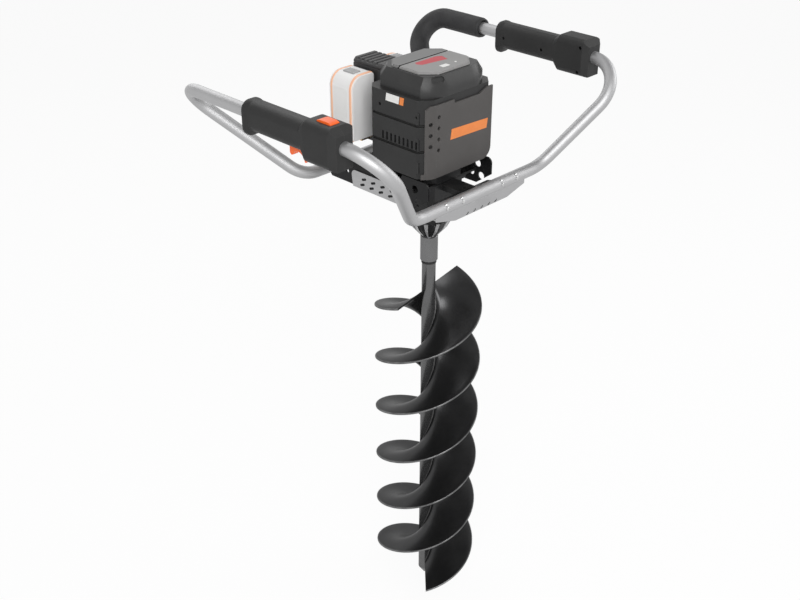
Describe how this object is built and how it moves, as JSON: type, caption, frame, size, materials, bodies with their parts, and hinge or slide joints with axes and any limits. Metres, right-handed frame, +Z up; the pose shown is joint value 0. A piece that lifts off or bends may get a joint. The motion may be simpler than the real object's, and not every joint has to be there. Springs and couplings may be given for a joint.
{
  "type": "earth auger",
  "caption": "Two-hand battery earth auger: bent-tube frame with side grips, geared motor head, slide-on battery packs and a double-flight digging bit.",
  "frame": {"origin": "tip of the pilot point, on the spin axis", "axes": "+Z up along the spin axis, -Y towards the front guard, +X towards the handle with the foam sleeve"},
  "size_m": [0.652, 0.4844, 1.128],
  "materials": {
    "frame_silver": "satin drawn tube",
    "plate_silver": "pressed bright sheet",
    "rail_black": "satin black paint on sheet",
    "case_black": "black painted casting",
    "nose_black": "black painted casting",
    "motor_alloy": "cast and turned",
    "core_iron": "laminated core",
    "coil_copper": "enamelled copper wire",
    "shaft_steel": "ground steel",
    "gear_steel": "cut and oiled steel",
    "bearing_steel": "polished steel",
    "seal_rubber": "matt rubber",
    "housing_black": "fine textured moulding",
    "guard_grey": "warm dark grey paint",
    "cover_black": "fine textured moulding",
    "panel_grey": "mid grey moulding",
    "strip_red": "tinted window",
    "board_green": "circuit board",
    "fan_black": "moulded fan",
    "tower_black": "textured moulding",
    "contact_brass": "plated contacts",
    "pack_grey": "pale grey moulding with pale orange bands",
    "latch_grey": "ribbed button",
    "grip_black": "charcoal moulding with a soft touch",
    "switch_black": "switch body",
    "trigger_orange": "orange moulding",
    "foam_black": "closed cell foam",
    "screw_steel": "blackened screws",
    "rivet_steel": "bright rivets",
    "bit_black": "satin black powder coat",
    "socket_grey": "dark grey metallic coat"
  },
  "bodies": {
    "head": {"front_tube": "frame_silver", "rear_tube": "frame_silver", "tube_joiners": "shaft_steel", "front_plate": "plate_silver", "chassis_floor": "rail_black", "left_rail": "rail_black", "right_rail": "rail_black", "left_side_plate": "plate_silver", "right_side_plate": "plate_silver", "frame_rivets": "rivet_steel", "gear_nose": "nose_black", "gear_case": "case_black", "gear_mid_plate": "motor_alloy", "gear_cover": "motor_alloy", "motor_adapter": "case_black", "motor_frame": "motor_alloy", "stator_core": "core_iron", "stator_coils": "coil_copper", "motor_housing": "housing_black", "front_guard": "guard_grey", "top_cover": "cover_black", "top_panel": "panel_grey", "panel_strip": "strip_red", "controller_board": "board_green", "housing_screws": "screw_steel", "battery_tower": "tower_black", "tower_cap": "tower_black", "battery_terminals": "contact_brass", "left_grip_outer": "grip_black", "left_grip_inner": "grip_black", "right_grip_outer": "grip_black", "right_grip_inner": "grip_black", "grip_screws": "screw_steel", "switch_block": "switch_black", "trigger_pin": "shaft_steel", "foam_pad": "foam_black", "spindle_bearings": "bearing_steel", "counter_bearings": "bearing_steel", "motor_bearings": "bearing_steel", "spindle_seal": "seal_rubber"},
    "bit": {"output_spindle": "shaft_steel", "output_gear": "gear_steel", "bit_socket": "socket_grey", "socket_ring": "seal_rubber", "bit_stem": "bit_black", "pilot_point": "bit_black", "flight_one": "bit_black", "flight_two": "bit_black", "bit_screw": "screw_steel"},
    "rotor": {"motor_shaft": "shaft_steel", "rotor_core": "core_iron", "cooling_fan": "fan_black"},
    "counter": {"countershaft": "gear_steel", "first_gear": "gear_steel"},
    "trigger": {"trigger": "trigger_orange"},
    "lock": {"lock_button": "trigger_orange"},
    "left_pack": {"left_battery": "pack_grey"},
    "left_latch": {"left_latch": "latch_grey"},
    "right_pack": {"right_battery": "pack_grey"},
    "right_latch": {"right_latch": "latch_grey"}
  },
  "joints": [
    {"name": "auger_spin", "type": "hinge", "parent": "head", "child": "bit", "pos_m": [0, 0, 0.8], "axis": [0, 0, 1], "continuous": true},
    {"name": "counter_spin", "type": "hinge", "parent": "head", "child": "counter", "pos_m": [0, 0.036, 0.88], "axis": [0, 0, 1], "continuous": true},
    {"name": "rotor_spin", "type": "hinge", "parent": "head", "child": "rotor", "pos_m": [0, 0, 1], "axis": [0, 0, 1], "continuous": true},
    {"name": "trigger_squeeze", "type": "hinge", "parent": "head", "child": "trigger", "pos_m": [-0.301, -0.045, 1.068], "axis": [1, 0, 0], "range_deg": [0, 10], "stiffness_Nm_per_rad": 2, "springref_deg": -5.73},
    {"name": "lock_press", "type": "slide", "parent": "head", "child": "lock", "axis": [0, 0, -1], "range_m": [0, 0.003], "stiffness_N_per_m": 1500, "springref_m": -0.002},
    {"name": "left_pack_slide", "type": "slide", "parent": "head", "child": "left_pack", "axis": [0, 0, 1], "range_m": [0, 0.11]},
    {"name": "left_latch_press", "type": "slide", "parent": "left_pack", "child": "left_latch", "axis": [0, 0, -1], "range_m": [0, 0.002], "stiffness_N_per_m": 1200, "springref_m": -0.002},
    {"name": "right_pack_slide", "type": "slide", "parent": "head", "child": "right_pack", "axis": [0, 0, 1], "range_m": [0, 0.11]},
    {"name": "right_latch_press", "type": "slide", "parent": "right_pack", "child": "right_latch", "axis": [0, 0, -1], "range_m": [0, 0.002], "stiffness_N_per_m": 1200, "springref_m": -0.002}
  ],
  "couplings": [
    {"joint": "counter_spin", "follows": "auger_spin", "ratio": -3.8},
    {"joint": "rotor_spin", "follows": "auger_spin", "ratio": 19}
  ]
}
